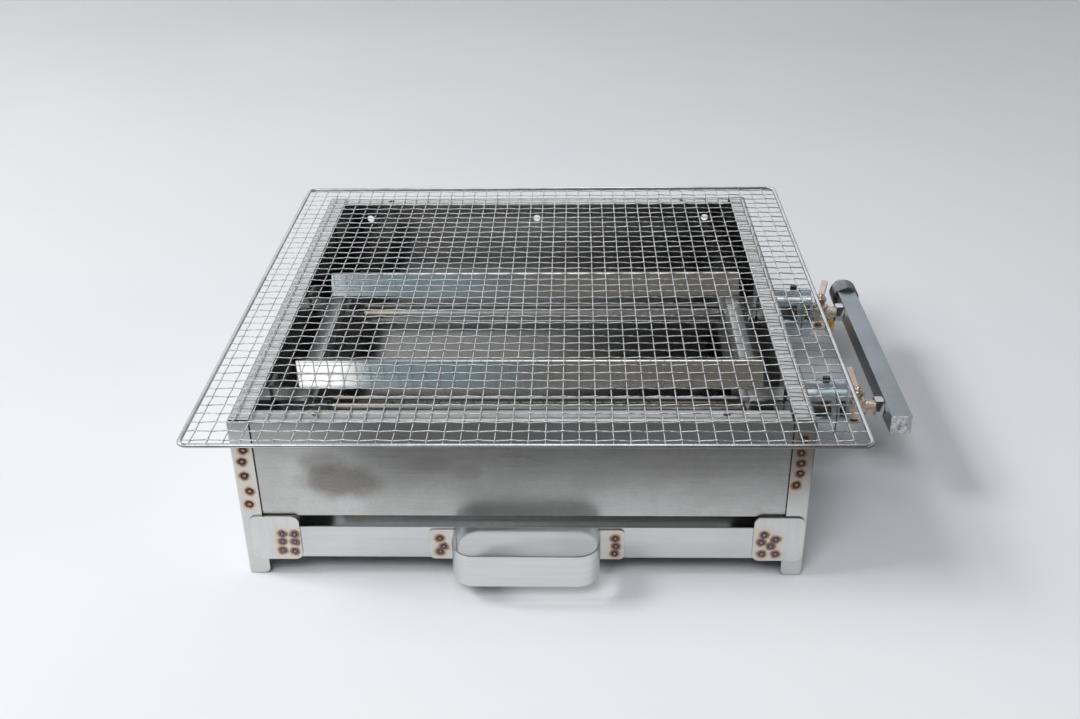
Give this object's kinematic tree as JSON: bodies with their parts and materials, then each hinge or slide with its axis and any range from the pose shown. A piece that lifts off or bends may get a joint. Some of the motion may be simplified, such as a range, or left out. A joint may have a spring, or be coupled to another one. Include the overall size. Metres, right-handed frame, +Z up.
{
  "type": "table-top gas grill",
  "caption": "Table-top stainless gas grill: open folded box with pipe burners, a lift-out deflector rack, a slide-out drip tray, a loose wire grate and a gas rail with cocks.",
  "frame": {"origin": "centre of the four holes in the top flange, in the plane of the flange's upper face", "axes": "+X to the right seen from the front, where the gas rail is; +Y to the back; +Z up"},
  "size_m": [0.5715, 0.5058, 0.1454],
  "materials": {
    "panel_sheet": "cold-rolled sheet, soft blurry shine",
    "inner_sheet": "folded stainless sheet",
    "tray_sheet": "bright rolled sheet",
    "handle_sheet": "bright strip",
    "deflector_sheet": "polished angle, heat marked",
    "burner_steel": "dull pipe with a tan heat tint at the closed end",
    "grate_rod": "bright drawn rod",
    "grate_wire": "bright drawn wire",
    "plated_fastener": "zinc plated",
    "zinc_plate": "blue-white zinc plating",
    "dark_screw": "blackened steel",
    "brass_fitting": "turned, bright",
    "brass_lever": "forged, tumbled",
    "chrome_nut": "nickel plated",
    "amber_cap": "knurled, dark lacquer",
    "rail_aluminium": "extruded, satin",
    "rail_plug": "rough cast face",
    "dark_fitting": "dark grey coated"
  },
  "bodies": {
    "body": {"side_panel_left": "panel_sheet", "side_panel_right": "panel_sheet", "front_panel": "panel_sheet", "rear_panel": "panel_sheet", "tray_runner_left": "inner_sheet", "tray_runner_right": "inner_sheet", "rack_brackets": "inner_sheet", "burner_pipe_front": "burner_steel", "burner_pipe_rear": "burner_steel", "burner_end_plugs": "burner_steel", "burner_stay_bolts": "plated_fastener", "burner_stay_nuts": "plated_fastener", "burner_lock_nuts": "plated_fastener", "mixer_body_front": "zinc_plate", "mixer_body_rear": "zinc_plate", "orifice_front": "brass_fitting", "orifice_rear": "brass_fitting", "valve_body_front": "brass_fitting", "valve_body_rear": "brass_fitting", "rail_nuts": "chrome_nut", "test_point_cap": "amber_cap", "gas_rail": "rail_aluminium", "rail_end_plug": "rail_plug", "rail_inlet_socket": "dark_fitting", "hose_nozzle": "brass_fitting"},
    "tray": {"drip_tray": "tray_sheet", "tray_stop_plate_left": "panel_sheet", "tray_stop_plate_right": "panel_sheet", "tray_handle": "handle_sheet"},
    "rack": {"deflector_front": "deflector_sheet", "deflector_rear": "deflector_sheet", "rack_rail_left": "inner_sheet", "rack_rail_right": "inner_sheet"},
    "grate": {"grate_border": "grate_rod", "grate_wires_lengthwise": "grate_wire", "grate_wires_crosswise": "grate_wire"},
    "shutter_front": {"air_shutter_front": "zinc_plate", "shutter_screw_front": "dark_screw"},
    "shutter_rear": {"air_shutter_rear": "zinc_plate", "shutter_screw_rear": "dark_screw"},
    "cock_front": {"valve_plug_front": "brass_fitting", "valve_lever_front": "brass_lever", "valve_spring_front": "plated_fastener", "valve_spring_cap_front": "brass_fitting"},
    "cock_rear": {"valve_plug_rear": "brass_fitting", "valve_lever_rear": "brass_lever", "valve_spring_rear": "plated_fastener", "valve_spring_cap_rear": "brass_fitting"}
  },
  "joints": [
    {"name": "tray_slide", "type": "slide", "parent": "body", "child": "tray", "axis": [0, -1, 0], "range_m": [0, 0.44]},
    {"name": "grate_lift", "type": "slide", "parent": "body", "child": "grate", "axis": [0, 0, 1], "range_m": [0, 0.2]},
    {"name": "rack_lift", "type": "slide", "parent": "body", "child": "rack", "axis": [0, 0, 1], "range_m": [0, 0.1]},
    {"name": "shutter_front_turn", "type": "hinge", "parent": "body", "child": "shutter_front", "pos_m": [0.25, -0.089, -0.069], "axis": [1, 0, 0], "range_deg": [0, 60]},
    {"name": "shutter_rear_turn", "type": "hinge", "parent": "body", "child": "shutter_rear", "pos_m": [0.25, 0.089, -0.069], "axis": [1, 0, 0], "range_deg": [0, 60]},
    {"name": "cock_front_turn", "type": "hinge", "parent": "body", "child": "cock_front", "pos_m": [0.2805, -0.089, -0.069], "axis": [0, 0, -1], "range_deg": [0, 90]},
    {"name": "cock_rear_turn", "type": "hinge", "parent": "body", "child": "cock_rear", "pos_m": [0.2805, 0.089, -0.069], "axis": [0, 0, -1], "range_deg": [-16, 74]}
  ],
  "couplings": [
    {"joint": "rack_lift", "follows": "grate_lift", "ratio": 0.5}
  ]
}
